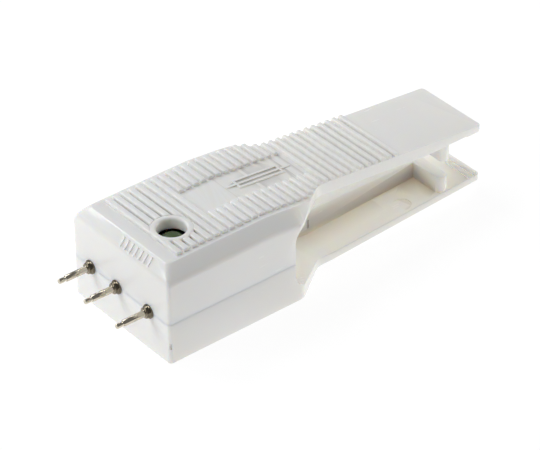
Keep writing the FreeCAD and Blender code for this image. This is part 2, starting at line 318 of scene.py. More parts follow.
def upperBlock():
    low = (case["frontX"], -case["halfWidth"], case["seamZ"])
    high = (jaw["tipX"], case["halfWidth"], case["topZ"])
    block = addBlock("upperCasing", low, high)
    bandZ = case["topZ"] - case["chamferHigh"]
    cutLine(block, (0, 0, bandZ), (0, 0, 1))
    stations = [0.0, jaw["slopeX"]] + neckStations() + list(jaw["cutsX"])
    for x in stations:
        cutLine(block, (x, 0, 0), (1, 0, 0))
    frontX = case["frontX"]
    for x in [frontX] + stations + [jaw["tipX"]]:
        wide = neckWidth(x) / case["halfWidth"]
        if wide < 1:
            scaleVerts(block, lambda co: near(co.x, x) and co.z < bandZ + tiny, (1, wide, 1), (x, 0, 0))
        scaleVerts(block, lambda co: near(co.x, x) and co.z > bandZ + tiny,
                   (1, topWidth(x) / case["halfWidth"], 1), (x, 0, 0))
        if topZ(x) < case["topZ"]:
            fall = topZ(x) - case["topZ"]
            moveVerts(block, lambda co: near(co.x, x) and co.z > bandZ + tiny, (0, 0, fall))
            moveVerts(block, lambda co: near(co.x, x) and near(co.z, bandZ), (0, 0, chamferZ(x) - bandZ))
    moveVerts(block, lambda co: near(co.x, frontX) and co.z > bandZ + tiny, (case["frontChamfer"], 0, 0))
    corner = case["halfWidth"] - 0.01

    def softLine(a, b):
        # The front corners, and the line where the chamfers meet the front and the sides.
        lowEnd, highEnd = sorted((a, b), key=lambda co: co.z)
        upright = lowEnd.x < frontX + tiny and abs(lowEnd.y) > corner and highEnd.z - lowEnd.z > 1
        level = abs(a.z - b.z) < 0.4 and abs((a.z + b.z) / 2 - bandZ) < 0.3
        onCase = max(a.x, b.x) < neck["startX"] + tiny and min(abs(a.y), abs(b.y)) > corner
        return upright or (level and onCase)

    bevelEdges(block, softLine, case["cornerRadius"], 5)
    bevelEdges(block, tipCorner, jaw["tipRadius"], 4)
    return block


def upperGap():
    # The room under the sprung handle, with a round inner corner.
    x0, x1 = case["rearX"], jaw["tipX"] + 3
    knee = jaw["slopeX"] + (case["topZ"] - jaw["thick"] - jaw["underZ"]) / jaw["slope"]
    bendEnd = x0 + jaw["bend"] + 0.5
    high = underZ(x0 + jaw["bend"])
    half = case["halfWidth"] + 4
    cutter = addBlock("gap", (x0, -half, 2.0), (x1, half, high))
    cutLine(cutter, (knee, 0, 0), (1, 0, 0))
    cutLine(cutter, (bendEnd, 0, 0), (1, 0, 0))
    for x in (knee, x1, bendEnd):
        moveVerts(cutter, lambda co: near(co.x, x) and co.z > 5, (0, 0, underZ(x) - high))
    bevelEdges(cutter, lambda a, b: max(a.x, b.x) < x0 + tiny and min(a.z, b.z) > 5, jaw["bend"], 7)
    return cutter


def rampBetween(x, x0, x1, a, b):
    # A smooth change from a to b along x.
    share = min(1.0, max(0.0, (x - x0) / (x1 - x0)))
    share = share * share * (3 - 2 * share)
    return a + (b - a) * share


def rimLine(a, b):
    # The edge of the opening on the neck's two sides.
    x = (a.x + b.x) / 2
    z = (a.z + b.z) / 2
    onCut = min(a.x, b.x) > case["rearX"] - tiny and z < underZ(x) + 0.05
    onSide = min(abs(a.y) - neckWidth(a.x), abs(b.y) - neckWidth(b.x)) > -0.02
    return onCut and onSide and z > case["seamZ"] + 0.01 and x < 22


def upperEdge(a, b):
    # How round each edge of the upper casing is.
    x = (a.x + b.x) / 2
    z = (a.z + b.z) / 2
    endX = neckRun()[2]
    if z < case["seamZ"] + tiny:
        return 0.0 if x < case["frontX"] + 0.6 else case["seamEdge"]
    if rimLine(a, b):
        return 0.0
    return rampBetween(x, neck["startX"], endX, case["edge"], jaw["edge"])


ribbing = {
    "count": 32, "pitch": 1.2, "firstX": -7.6, "height": 0.45, "caseLength": 0.85, "handleLength": 0.6,
    "margin": 0.7, "sunk": 0.25, "edge": 0.13,
}
panel = {"x0": 1.0, "x1": 17.9, "halfWidth": 2.9}
lampHole = {
    "x": -4.8, "y": -2.8, "radius": 1.93, "ringRadius": 2.9, "ringHeight": 0.45, "ringEdge": 0.34,
    "roomRadius": 2.35, "roomZ": 11.5,
}


def ribHalf(x):
    # Half the length of the rib that ends at this x.
    return min(case["halfWidth"] - case["sideChamfer"] - ribbing["margin"], neckWidth(x) - 0.03)


def makeRibs():
    # The grip ribs across the top, parted where the panel lies and leaning with the slope.
    bars = []
    lean = math.atan(jaw["slope"])
    endX = neckRun()[2]
    for i in range(ribbing["count"]):
        x0 = ribbing["firstX"] + i * ribbing["pitch"]
        onHandle = min(1.0, max(0.0, (x0 - neck["startX"]) / (endX - neck["startX"])))
        long = ribbing["caseLength"] + (ribbing["handleLength"] - ribbing["caseLength"]) * onHandle
        middle = x0 + long / 2
        z0 = topZ(middle) - ribbing["sunk"]
        z1 = topZ(middle) + ribbing["height"]
        half = ribHalf(x0 + long)
        spans = [(-half, half)]
        if panel["x0"] < middle < panel["x1"]:
            spans = [(-half, -panel["halfWidth"]), (panel["halfWidth"], half)]
        for y0, y1 in spans:
            turn = lean if middle > jaw["slopeX"] else 0.0
            bars.append(addBlock("rib", (x0, y0, z0), (x0 + long, y1, z1), turn))
    ribs = joinAll("ribs", bars)
    bevelSharp(ribs, ribbing["edge"], 3)
    return ribs


symbol = {
    "x0": 7.6, "x1": 15.0, "halfWidth": 1.0, "line": 0.36, "height": 0.16, "sunk": 0.2,
    "lead": 1.5, "edge": 0.05,
}


def makeSymbol():
    # A plain fuse sign on the blank panel: a long box with a line through it.
    line, half = symbol["line"], symbol["halfWidth"]
    x0, x1 = symbol["x0"], symbol["x1"]
    lean = math.atan(jaw["slope"])
    middle = (x0 + x1) / 2
    low, high = topZ(middle) - symbol["sunk"], topZ(middle) + symbol["height"]
    lead0, lead1 = x0 - symbol["lead"], x1 + symbol["lead"]
    # The bars' ends and faces are set apart a little, so that no two of them lie in one plane.
    bars = [
        addBlock("bar", (x0, -half, low), (x1, -half + line, high)),
        addBlock("bar", (x0, half - line, low), (x1, half, high)),
        addBlock("bar", (x0 + 0.01, -half + 0.1, low + 0.01), (x0 + line, half - 0.1, high - 0.01)),
        addBlock("bar", (x1 - line, -half + 0.1, low + 0.01), (x1 - 0.01, half - 0.1, high - 0.01)),
        addBlock("bar", (lead0, -line / 2, low - 0.01), (lead1, line / 2, high - 0.02)),
    ]
    for bar in bars:
        bevelSharp(bar, symbol["edge"], 2)
    sign = bars[0]
    for bar in bars[1:]:
        combine(sign, bar, "UNION")
    sign.name = "sign"
    sign.data.transform(Matrix.Translation((-middle, 0, -topZ(middle))))
    sign.rotation_euler = (0, lean, 0)
    sign.location = (middle, 0, topZ(middle))
    applyPlace(sign)
    return sign


frontTicks = {
    "count": 7, "from": 0.25, "pitch": -0.95, "width": 0.36, "long": 1.35, "height": 0.14, "sunk": 0.25,
    "edge": 0.07,
}


def makeFrontTicks():
    # A row of short raised strokes on the front chamfer.
    run, rise = case["frontChamfer"], case["chamferHigh"]
    lean = math.atan2(run, rise)
    half, width = frontTicks["long"] / 2, frontTicks["width"] / 2
    bars = []
    for i in range(frontTicks["count"]):
        y = frontTicks["from"] + i * frontTicks["pitch"]
        bar = addBlock("tick", (-frontTicks["height"], y - width, -half),
                       (frontTicks["sunk"], y + width, half))
        bevelSharp(bar, frontTicks["edge"], 2)
        bars.append(bar)
    ticks = joinAll("ticks", bars)
    ticks.rotation_euler = (0, lean, 0)
    ticks.location = (case["frontX"] + run / 2, 0, case["topZ"] - rise / 2)
    applyPlace(ticks)
    return ticks


stopWall = {
    "lower": {"x": (37.5, 39.3), "halfWidth": 5.8, "z": 4.5},
    "upper": {"x": (38.1, 39.6), "halfWidth": 5.7, "z": 6.7},
    "webY0": -0.5, "webY1": 1.5, "webZ": 5.0, "webEdge": 0.12, "edge": 0.14,
}
lip = {"long": 2.3, "high": 0.4, "inset": 0.2, "fromTip": 0.12, "edge": 0.12}
tooth = {"fromTip": (1.0, 1.9), "length": 0.4, "height": 0.25, "edge": 0.1}


def roundedWall(name, wall, z0, z1):
    # The cross wall between the jaws, its ends half round.
    x0, x1 = wall["x"]
    block = addBlock(name, (x0, -wall["halfWidth"], z0), (x1, wall["halfWidth"], z1))
    bevelEdges(block, lambda a, b: abs(a.z - b.z) > 0.5, (x1 - x0) * 0.495, 8)
    bevelSharp(block, stopWall["edge"], 2, 50)
    return block


def makeLip():
    # The thin grip edge under the sprung jaw's tip.
    half = jaw["halfWidth"] - lip["inset"]
    edge = addBlock("lip", (jaw["tipX"] - lip["long"], -half, jaw["underZ"] - lip["high"]),
                    (jaw["tipX"] - lip["fromTip"], half, jaw["underZ"] + 0.3))
    bevelSharp(edge, lip["edge"], 3)
    return edge


def makeRing():
    # The rounded ring round the lamp's window.
    x, y = lampHole["x"], lampHole["y"]
    low = case["topZ"] - case["roof"]
    high = case["topZ"] + lampHole["ringHeight"]
    ring = addRod("ring", (x, y, low), lampHole["ringRadius"], high - low, sides=64)
    combine(ring, addRod("bore", (x, y, low - 1), lampHole["radius"], 5, sides=64), "DIFFERENCE")
    bevelSharp(ring, lampHole["ringEdge"], 5)
    return ring


def innerRoom(low, high):
    # The space between the case's four walls.
    inner = case["halfWidth"] - case["wall"]
    front = case["frontX"] + case["wall"]
    rear = case["rearX"] - case["wall"]
    return addBlock("room", (front, -inner, low), (rear, inner, high))


def makeUpperCasing():
    x, y = lampHole["x"], lampHole["y"]
    body = upperBlock()
    combine(body, upperGap(), "DIFFERENCE")
    bevelEdges(body, rimLine, jaw["rimEdge"], 4)
    bevelWeighted(body, upperEdge, 3)
    room = innerRoom(case["seamZ"] - 1, case["topZ"] - case["roof"])
    bevelEdges(room, lambda a, b: min(a.z, b.z) > 6 and abs(a.x - b.x) > 1, case["roomChamfer"], 1)
    combine(body, room, "DIFFERENCE")
    combine(body, addRod("bore", (x, y, lampHole["roomZ"]), lampHole["roomRadius"], 5), "DIFFERENCE")
    ribs = makeRibs()
    combine(ribs, addRod("clear", (x, y, 10), lampHole["ringRadius"] - 0.1, 8), "DIFFERENCE")
    combine(body, ribs, "UNION")
    combine(body, makeSymbol(), "UNION")
    combine(body, makeFrontTicks(), "UNION")
    combine(body, makeRing(), "UNION")
    upperWall = stopWall["upper"]
    combine(body, roundedWall("stop", upperWall, upperWall["z"], jaw["underZ"] + 0.3), "UNION")
    combine(body, makeLip(), "UNION")
    for y in probePlaces.values():
        combine(body, probeHole(y), "DIFFERENCE")
    return body


fixedJaw = {
    "riseX": 19.0, "rise": 0.054, "thick": 1.0, "edge": 0.22, "rimEdge": 0.55, "baseEdge": 0.35,
    "ramp": ((0.0, 4.6), (0.1, 3.7), (0.35, 3.0), (0.8, 2.5), (1.7, 2.1), (3.7, 1.7), (6.7, 1.3), (9.7, 1.1)),
    "slit": (19.05, 19.35, 1.9, 3.3), "slitDeep": 0.25, "cutsX": (24.0, 30.0, 35.0, 40.0),
    "ejector": (32.4, -4.1, 1.3), "ejectorDeep": 0.04, "nick": ((-11.1, -10.1, 2.2), (-10.6, -9.75, 3.1)),
    "nickEdge": 0.08, "evenX": 24,
}
post = {"x": (-8.4, 7.0), "y": (-7.0, 7.0), "radius": 0.8, "sunk": 0.3, "long": 2.95, "edge": 0.1}


def baseZ(x):
    # The underside of the fixed jaw.
    return fixedJaw["rise"] * max(0.0, x - fixedJaw["riseX"])


def floorZ(x):
    # The top of the fixed jaw: a hollow ramp down from the case, then a thin plate rising to the tip.
    ramp = [(case["rearX"] + dx, z) for dx, z in fixedJaw["ramp"]]
    ramp.append((jaw["tipX"], baseZ(jaw["tipX"]) + fixedJaw["thick"]))
    for (x0, z0), (x1, z1) in zip(ramp, ramp[1:]):
        if x <= x1:
            return z0 + (z1 - z0) * (x - x0) / (x1 - x0)
    return ramp[-1][1]


def lowerBlock():
    low = (case["frontX"], -case["halfWidth"], 0)
    high = (jaw["tipX"], case["halfWidth"], case["seamZ"])
    block = addBlock("lowerCasing", low, high)
    rampX = [case["rearX"] + point[0] for point in fixedJaw["ramp"]]
    stations = sorted(set(rampX + neckStations() + list(fixedJaw["cutsX"])))
    for x in [0.0] + stations:
        cutLine(block, (x, 0, 0), (1, 0, 0))
    for x in stations + [jaw["tipX"]]:
        wide = neckWidth(x) / case["halfWidth"]
        if wide < 1:
            scaleVerts(block, lambda co: near(co.x, x), (1, wide, 1), (x, 0, 0))
        moveVerts(block, lambda co: near(co.x, x) and co.z < 3, (0, 0, baseZ(x)))
        if x > case["rearX"] + tiny:
            moveVerts(block, lambda co: near(co.x, x) and co.z > 5.9, (0, 0, floorZ(x) - case["seamZ"]))
    corner = case["halfWidth"] - 0.01

    def frontCorner(a, b):
        atCorner = max(a.x, b.x) < case["frontX"] + tiny and min(abs(a.y), abs(b.y)) > corner
        return atCorner and abs(a.z - b.z) > 1

    bevelEdges(block, frontCorner, case["cornerRadius"], 6)
    bevelEdges(block, tipCorner, jaw["tipRadius"], 4)
    return block


def lowerEdge(a, b):
    # How round each edge of the lower casing is.
    x = (a.x + b.x) / 2
    z = (a.z + b.z) / 2
    if z > case["seamZ"] - tiny:
        return 0.0 if x < case["frontX"] + 0.6 else case["seamEdge"]
    if z < baseZ(x) + 0.05:
        return rampBetween(x, case["rearX"], fixedJaw["evenX"], fixedJaw["baseEdge"], fixedJaw["edge"])
    if x > case["rearX"] - tiny and min(abs(a.y), abs(b.y)) > 4:
        return rampBetween(x, 14, fixedJaw["evenX"], fixedJaw["rimEdge"], fixedJaw["edge"])
    if x > case["rearX"] - tiny:
        return 0.0 if x < jaw["tipX"] - 0.1 else fixedJaw["edge"]
    return case["edge"]


def makeWeb():
    # The long wall down the middle of the fixed jaw.
    x0, x1 = case["rearX"] - 0.3, stopWall["lower"]["x"][0] + 0.4
    y0 = stopWall["webY0"]
    web = addBlock("web", (x0, y0, 0.5), (x1, stopWall["webY1"], stopWall["webZ"]))
    moveVerts(web, lambda co: near(co.x, x1) and co.z > 3, (0, 0, stopWall["lower"]["z"] - stopWall["webZ"]))
    moveVerts(web, lambda co: near(co.x, x1) and co.z < 3, (0, 0, baseZ(x1)))
    bevelSharp(web, stopWall["webEdge"], 2)
    slitX0, slitX1, slitZ0, slitZ1 = fixedJaw["slit"]
    slit = addBlock("slit", (slitX0, y0 - 0.2, slitZ0), (slitX1, y0 + fixedJaw["slitDeep"], slitZ1))
    combine(web, slit, "DIFFERENCE")
    return web


def makeTooth(back):
    # One of the low bars across the fixed jaw near its tip.
    x = jaw["tipX"] - back
    low = floorZ(x)
    half = jaw["halfWidth"] - 0.05
    rail = addBlock("tooth", (x, -half, low - 0.3), (x + tooth["length"], half, low + tooth["height"]))
    bevelSharp(rail, tooth["edge"], 3)
    return rail


def makePost(x, y):
    # A post under the board.
    peg = addRod("post", (x, y, case["floor"] - post["sunk"]), post["radius"], post["long"], sides=24)
    bevelSharp(peg, post["edge"], 2)
    return peg


def makeLowerCasing():
    body = lowerBlock()
    bevelWeighted(body, lowerEdge, 3)
    room = innerRoom(case["floor"], case["seamZ"] + 1)
    bevelEdges(room, lambda a, b: max(a.z, b.z) < 2, 0.5, 2)
    combine(body, room, "DIFFERENCE")
    combine(body, makeWeb(), "UNION")
    lowerWall = stopWall["lower"]
    combine(body, roundedWall("stop", lowerWall, baseZ(lowerWall["x"][0]) + 0.5, lowerWall["z"]), "UNION")
    x, y, radius = fixedJaw["ejector"]
    mark = addRod("ejector", (x, y, floorZ(x) - fixedJaw["ejectorDeep"]), radius, 2, sides=48)
    combine(body, mark, "DIFFERENCE")
    for back in tooth["fromTip"]:
        combine(body, makeTooth(back), "UNION")
    nick = addBlock("nick", *fixedJaw["nick"])
    bevelSharp(nick, fixedJaw["nickEdge"], 2)
    combine(body, nick, "DIFFERENCE")
    for x in post["x"]:
        for y in post["y"]:
            combine(body, makePost(x, y), "UNION")
    for y in probePlaces.values():
        combine(body, probeHole(y), "DIFFERENCE")
    return body


probe = {
    "flangeRadius": 0.98, "flange": 0.25, "hubRadius": 0.81, "hubFront": 0.75, "hub": 0.77,
    "radius": 0.45, "bore": 0.365, "front": 4.0, "tail": 5.2, "tailRadius": 0.36, "press": 0.52,
    "round": 0.07, "tipRadius": 0.34, "tipReach": 1.05, "tipInside": 1.4, "tipEdge": 0.07, "tipGroove": 0.06,
}
probePlaces = {"regular": 6.35, "mini": 0.8, "common": -5.8}
towardsFront = (0, math.radians(-90), 0)
towardsRear = (0, math.radians(90), 0)


def probeHole(y):
    # The hole for a barrel's pressed part, half of it in each casing.
    return addRod("hole", (case["frontX"] - 1, y, case["seamZ"]), probe["press"] + 0.01, 2.6,
                  towardsRear, 32)


def makeBarrel(name, y):
    # Turned from the tail inside the case out to the mouth, then bored for the tip.
    p = probe
    start = (case["frontX"], y, case["seamZ"])
    soft = p["round"]
    outline = [
        (-p["tail"], p["tailRadius"] - 0.06), (-p["tail"] + soft, p["tailRadius"]),
        (-1.6, p["tailRadius"]), (-1.5, p["press"]), (0.0, p["press"]),
        (0.0, p["flangeRadius"] - soft * 0.5), (soft * 0.6, p["flangeRadius"]),
        (p["flange"] - soft, p["flangeRadius"]), (p["flange"], p["flangeRadius"] - soft),
        (p["flange"], p["hubRadius"] + 0.02), (p["flange"] + 0.03, p["hubRadius"]),
        (p["hub"] - soft, p["hubFront"]), (p["hub"] - 0.02, p["hubFront"] - soft * 0.7),
        (p["hub"], p["hubFront"] - soft * 1.4), (p["hub"], p["radius"] + 0.03),
        (p["hub"] + 0.05, p["radius"]),
        (2.0, p["radius"]), (2.02, p["radius"] - 0.02), (2.1, p["radius"] - 0.02), (2.12, p["radius"]),
        (p["front"] - 0.14, p["radius"]), (p["front"] - 0.04, p["radius"] - 0.045),
        (p["front"], p["bore"] + 0.025),
    ]
    barrel = addTurned(name, start, outline, towardsFront, 40)
    bore = addRod("bore", (case["frontX"] - p["front"] - 0.5, y, case["seamZ"]), p["bore"], p["front"] + 0.5,
                  towardsRear, 40)
    combine(barrel, bore, "DIFFERENCE")
    return barrel


def makeTip(name, y):
    # The plunger, with a shallow groove outside the barrel's mouth and a softened nose.
    p = probe
    start = (case["frontX"] - p["front"], y, case["seamZ"])
    reach, radius = p["tipReach"], p["tipRadius"]
    groove = radius - p["tipGroove"]
    outline = [
        (-p["tipInside"], groove), (-p["tipInside"] + 0.05, radius), (0.1, radius),
        (0.16, groove), (0.3, groove), (0.36, radius),
        (reach - p["tipEdge"], radius), (reach - 0.02, radius - 0.03),
        (reach, radius - p["tipEdge"]), (reach, 0.05),
    ]
    return addTurned(name, start, outline, towardsFront, 36)


dome = {
    "base": 8.2, "flange": 1.95, "flangeHigh": 0.6, "flangeEdge": 0.06, "radius": 1.65, "head": 0.85,
    "top": 13.2, "arcSteps": 12,
}


def makeLamp():
    # The lamp's flange, straight body and round head.
    d = dome
    flat = d["top"] - d["head"] - d["base"]
    edge = d["flangeEdge"]
    outline = [
        (0.0, d["flange"] - edge), (edge, d["flange"]), (d["flangeHigh"] - edge, d["flange"]),
        (d["flangeHigh"], d["flange"] - edge), (d["flangeHigh"], d["radius"] + 0.04),
        (d["flangeHigh"] + 0.05, d["radius"]), (flat, d["radius"]),
    ]
    for i in range(1, d["arcSteps"]):
        turn = math.radians(90 * i / d["arcSteps"])
        outline.append((flat + d["head"] * math.sin(turn), d["radius"] * math.cos(turn)))
    outline.append((flat + d["head"] * 0.9995, 0.04))
    return addTurned("lamp", (lampHole["x"], lampHole["y"], d["base"]), outline, sides=48)


def newGroup(name, inputs, outputs):
    # inputs gives each value's name and what it is when nothing is set.
    group = bpy.data.node_groups.new(name, "ShaderNodeTree")
    for label, value in inputs.items():
        socket = group.interface.new_socket(name=label, in_out="INPUT", socket_type="NodeSocketFloat")
        socket.default_value = value
    for label in outputs:
        group.interface.new_socket(name=label, in_out="OUTPUT", socket_type="NodeSocketFloat")
    start = group.nodes.new("NodeGroupInput")
    end = group.nodes.new("NodeGroupOutput")
    return group, start, end


def addNode(tree, kind, **settings):
    node = tree.nodes.new(kind)
    for key, value in settings.items():
        setattr(node, key, value)
    return node


def mathNode(tree, operation, first, second):
    node = addNode(tree, "ShaderNodeMath", operation=operation)
    for socket, value in zip(node.inputs, (first, second)):
        if isinstance(value, (int, float)):
            socket.default_value = value
        else:
            tree.links.new(value, socket)
    return node.outputs[0]


def makeGrainGroup():
    # Fine moulded grain with a slow ripple: a mask for roughness and a height for the bump.
    group, start, end = newGroup("mouldGrain", {"Scale": 4000.0, "Ripple": 0.5}, ("Mask", "Height"))
    place = addNode(group, "ShaderNodeTexCoord").outputs["Object"]
    fine = addNode(group, "ShaderNodeTexNoise")
    fine.inputs["Detail"].default_value = 3.0
    group.links.new(place, fine.inputs["Vector"])
    group.links.new(start.outputs["Scale"], fine.inputs["Scale"])
    slow = addNode(group, "ShaderNodeTexNoise")
    slow.inputs["Scale"].default_value = 160.0
    slow.inputs["Detail"].default_value = 2.0
    group.links.new(place, slow.inputs["Vector"])
    ripple = mathNode(group, "MULTIPLY", slow.outputs["Fac"], start.outputs["Ripple"])
    height = mathNode(group, "ADD", fine.outputs["Fac"], ripple)
    group.links.new(slow.outputs["Fac"], end.inputs["Mask"])
    group.links.new(height, end.inputs["Height"])
    return group


def makeMarksGroup():
    # Faint scuffs: thin stretched streaks that show in patches only.
    group, start, end = newGroup("handlingMarks", {"Scale": 900.0, "Amount": 0.5}, ("Mask",))
    place = addNode(group, "ShaderNodeTexCoord").outputs["Object"]
    stretch = addNode(group, "ShaderNodeMapping")
    stretch.inputs["Rotation"].default_value = (0.2, 0.4, 0.7)
    stretch.inputs["Scale"].default_value = (0.12, 1.0, 1.0)
    group.links.new(place, stretch.inputs["Vector"])
    streak = addNode(group, "ShaderNodeTexNoise")
    streak.inputs["Detail"].default_value = 2.0
    group.links.new(stretch.outputs["Vector"], streak.inputs["Vector"])
    group.links.new(start.outputs["Scale"], streak.inputs["Scale"])
    thin = addNode(group, "ShaderNodeMapRange")
    thin.inputs["From Min"].default_value = 0.62
    thin.inputs["From Max"].default_value = 0.72
    group.links.new(streak.outputs["Fac"], thin.inputs["Value"])
    patch = addNode(group, "ShaderNodeTexNoise")
    patch.inputs["Scale"].default_value = 110.0
    group.links.new(place, patch.inputs["Vector"])
    where = addNode(group, "ShaderNodeMapRange")
    where.inputs["From Min"].default_value = 0.48
    where.inputs["From Max"].default_value = 0.66
    group.links.new(patch.outputs["Fac"], where.inputs["Value"])
    both = mathNode(group, "MULTIPLY", thin.outputs["Result"], where.outputs["Result"])
    amount = mathNode(group, "MULTIPLY", both, start.outputs["Amount"])
    group.links.new(amount, end.inputs["Mask"])
    return group


def makeEdgeGroup():
    # Where the surface turns sharply outwards, as worn edges do, and inwards, where shade is painted in.
    group, start, end = newGroup("edgeAndHollow", {"Edge": 0.52, "Hollow": 0.48}, ("Edge", "Hollow"))
    point = addNode(group, "ShaderNodeNewGeometry").outputs["Pointiness"]
    out = addNode(group, "ShaderNodeMapRange")
    out.inputs["From Max"].default_value = 0.6
    group.links.new(point, out.inputs["Value"])
    group.links.new(start.outputs["Edge"], out.inputs["From Min"])
    hollow = addNode(group, "ShaderNodeMapRange")
    hollow.inputs["From Max"].default_value = 0.4
    group.links.new(point, hollow.inputs["Value"])
    group.links.new(start.outputs["Hollow"], hollow.inputs["From Min"])
    group.links.new(out.outputs["Result"], end.inputs["Edge"])
    group.links.new(hollow.outputs["Result"], end.inputs["Hollow"])
    return group


grainGroup = makeGrainGroup()
marksGroup = makeMarksGroup()
edgeGroup = makeEdgeGroup()


def useGroup(tree, group, **values):
    node = addNode(tree, "ShaderNodeGroup", node_tree=group)
    for key, value in values.items():
        node.inputs[key].default_value = value
    return node


def mixColour(tree, share, first, second):
    node = addNode(tree, "ShaderNodeMix", data_type="RGBA")
    tree.links.new(share, node.inputs["Factor"])
    for socket, value in ((node.inputs["A"], first), (node.inputs["B"], second)):
        if isinstance(value, tuple):
            socket.default_value = (*value, 1)
        else:
            tree.links.new(value, socket)
    return node.outputs["Result"]


def startMaterial(name):
    material = bpy.data.materials.new(name)
    material.use_nodes = True
    tree = material.node_tree
    return material, tree, tree.nodes["Principled BSDF"]


def rangeNode(tree, value, low, high):
    # Spreads a mask from low to high.
    node = addNode(tree, "ShaderNodeMapRange")
    node.inputs["To Min"].default_value = low
    node.inputs["To Max"].default_value = high
    tree.links.new(value, node.inputs["Value"])
    return node.outputs["Result"]


def ramp(tree, value, low, high):
    # From 0 at low to 1 at high; low may be the larger.
    node = addNode(tree, "ShaderNodeMapRange", interpolation_type="SMOOTHSTEP")
    node.inputs["From Min"].default_value = low
    node.inputs["From Max"].default_value = high
    tree.links.new(value, node.inputs["Value"])
    return node.outputs["Result"]


def placeParts(tree):
    # Where a point lies on the object, as separate X, Y and Z.
    place = addNode(tree, "ShaderNodeTexCoord").outputs["Object"]
    parts = addNode(tree, "ShaderNodeSeparateXYZ")
    tree.links.new(place, parts.inputs["Vector"])
    return parts.outputs


def addBump(tree, height, shader, strength, distance):
    bump = addNode(tree, "ShaderNodeBump")
    bump.inputs["Strength"].default_value = strength
    bump.inputs["Distance"].default_value = distance
    tree.links.new(height, bump.inputs["Height"])
    tree.links.new(bump.outputs["Normal"], shader.inputs["Normal"])


# The cream tone is painted warm bounce light between the jaws; the grey tone is painted shade in hollows and
# corners, and also the colour of faint scuffs.
plastic = {
    "colour": (0.905, 0.895, 0.868), "warm": (0.897, 0.882, 0.845), "edge": (0.92, 0.915, 0.895),
    "shadeAndScuff": (0.56, 0.55, 0.525), "rough": (0.15, 0.24), "paintedBounce": (0.92, 0.907, 0.865),
    "paintedBounceX": (0.0088, 0.0105), "paintedBounceZ": (0.0125, 0.0095),
}


def makeWhitePlastic(name, scatter, depth):
    # Glossy white moulding, with painted warm bounce light as a creamier tone behind the case and below the
    # handle, and painted shade in the corners.
    material, tree, shader = startMaterial(name)
    grain = useGroup(tree, grainGroup, Scale=5200.0, Ripple=0.9)
    marks = useGroup(tree, marksGroup, Scale=2400.0, Amount=0.5)
    edges = useGroup(tree, edgeGroup)
    base = mixColour(tree, grain.outputs["Mask"], plastic["colour"], plastic["warm"])
    parts = placeParts(tree)
    # Painted warm bounce light: a creamier tone between the jaws, behind the case and below the handle.
    behind = ramp(tree, parts["X"], *plastic["paintedBounceX"])
    below = ramp(tree, parts["Z"], *plastic["paintedBounceZ"])
    base = mixColour(tree, mathNode(tree, "MULTIPLY", behind, below), base, plastic["paintedBounce"])
    base = mixColour(tree, edges.outputs["Edge"], base, plastic["edge"])
    # Painted shade: hollows and inside corners are darkened towards the grey tone.
    base = mixColour(tree, mathNode(tree, "MULTIPLY", edges.outputs["Hollow"], 0.8), base, plastic["shadeAndScuff"])
    # Faint scuffs take the same grey tone.
    base = mixColour(tree, mathNode(tree, "MULTIPLY", marks.outputs["Mask"], 0.1), base, plastic["shadeAndScuff"])
    tree.links.new(base, shader.inputs["Base Color"])
    rough = rangeNode(tree, grain.outputs["Mask"], *plastic["rough"])
    rough = mathNode(tree, "ADD", rough, mathNode(tree, "MULTIPLY", marks.outputs["Mask"], 0.25))
    tree.links.new(rough, shader.inputs["Roughness"])
    shader.inputs["IOR"].default_value = 1.5
    shader.inputs["Subsurface Weight"].default_value = scatter
    shader.inputs["Subsurface Radius"].default_value = (1.0, 0.8, 0.55)
    shader.inputs["Subsurface Scale"].default_value = depth
    addBump(tree, grain.outputs["Height"], shader, 0.12, 0.00002)
    return material


def lineHollow(piece, material, test):
    # The thin walls between the jaws let more light through.
    piece.data.materials.append(material)
    for face in piece.data.polygons:
        if test(face.center / mm):
            face.material_index = 1


def behindCase(centre):
    # Behind the case, and inside the outline seen from above.
    return centre.x > case["rearX"] - 0.05 and abs(centre.y) < neckWidth(centre.x) - 0.1


def insideUpper(centre):
    return behindCase(centre) and centre.z < topZ(centre.x) - 0.8


def insideLower(centre):
    return behindCase(centre) and centre.z > baseZ(centre.x) + 0.5


def makeMetal(name, dark, light, rough, grainScale, bump=0.12, root=None):
    # Turned or pressed metal: two tones of one metal, worn brighter on edges, duller at a probe's root.
    material, tree, shader = startMaterial(name)
    grain = useGroup(tree, grainGroup, Scale=grainScale, Ripple=1.2)
    marks = useGroup(tree, marksGroup, Scale=2600.0, Amount=0.25)
    edges = useGroup(tree, edgeGroup, Edge=0.53)
    share = addNode(tree, "ShaderNodeMapRange")
    share.inputs["From Min"].default_value = 0.35
    share.inputs["From Max"].default_value = 0.65
    tree.links.new(grain.outputs["Mask"], share.inputs["Value"])
    base = mixColour(tree, share.outputs["Result"], dark, light)
    bright = tuple(min(1.0, c * 1.5) for c in light)
    base = mixColour(tree, mathNode(tree, "MULTIPLY", edges.outputs["Edge"], 0.6), base, bright)
    base = mixColour(tree, mathNode(tree, "MULTIPLY", marks.outputs["Mask"], 0.5), base, bright)
    if root:
        atRoot = ramp(tree, placeParts(tree)["X"], root["fromX"], root["toX"])
        base = mixColour(tree, atRoot, base, root["colour"])
    tree.links.new(base, shader.inputs["Base Color"])
    roughness = rangeNode(tree, grain.outputs["Mask"], rough * 0.75, rough * 1.35)
    tree.links.new(roughness, shader.inputs["Roughness"])
    shader.inputs["Metallic"].default_value = 1.0
    addBump(tree, grain.outputs["Height"], shader, bump, 0.00001)
    return material


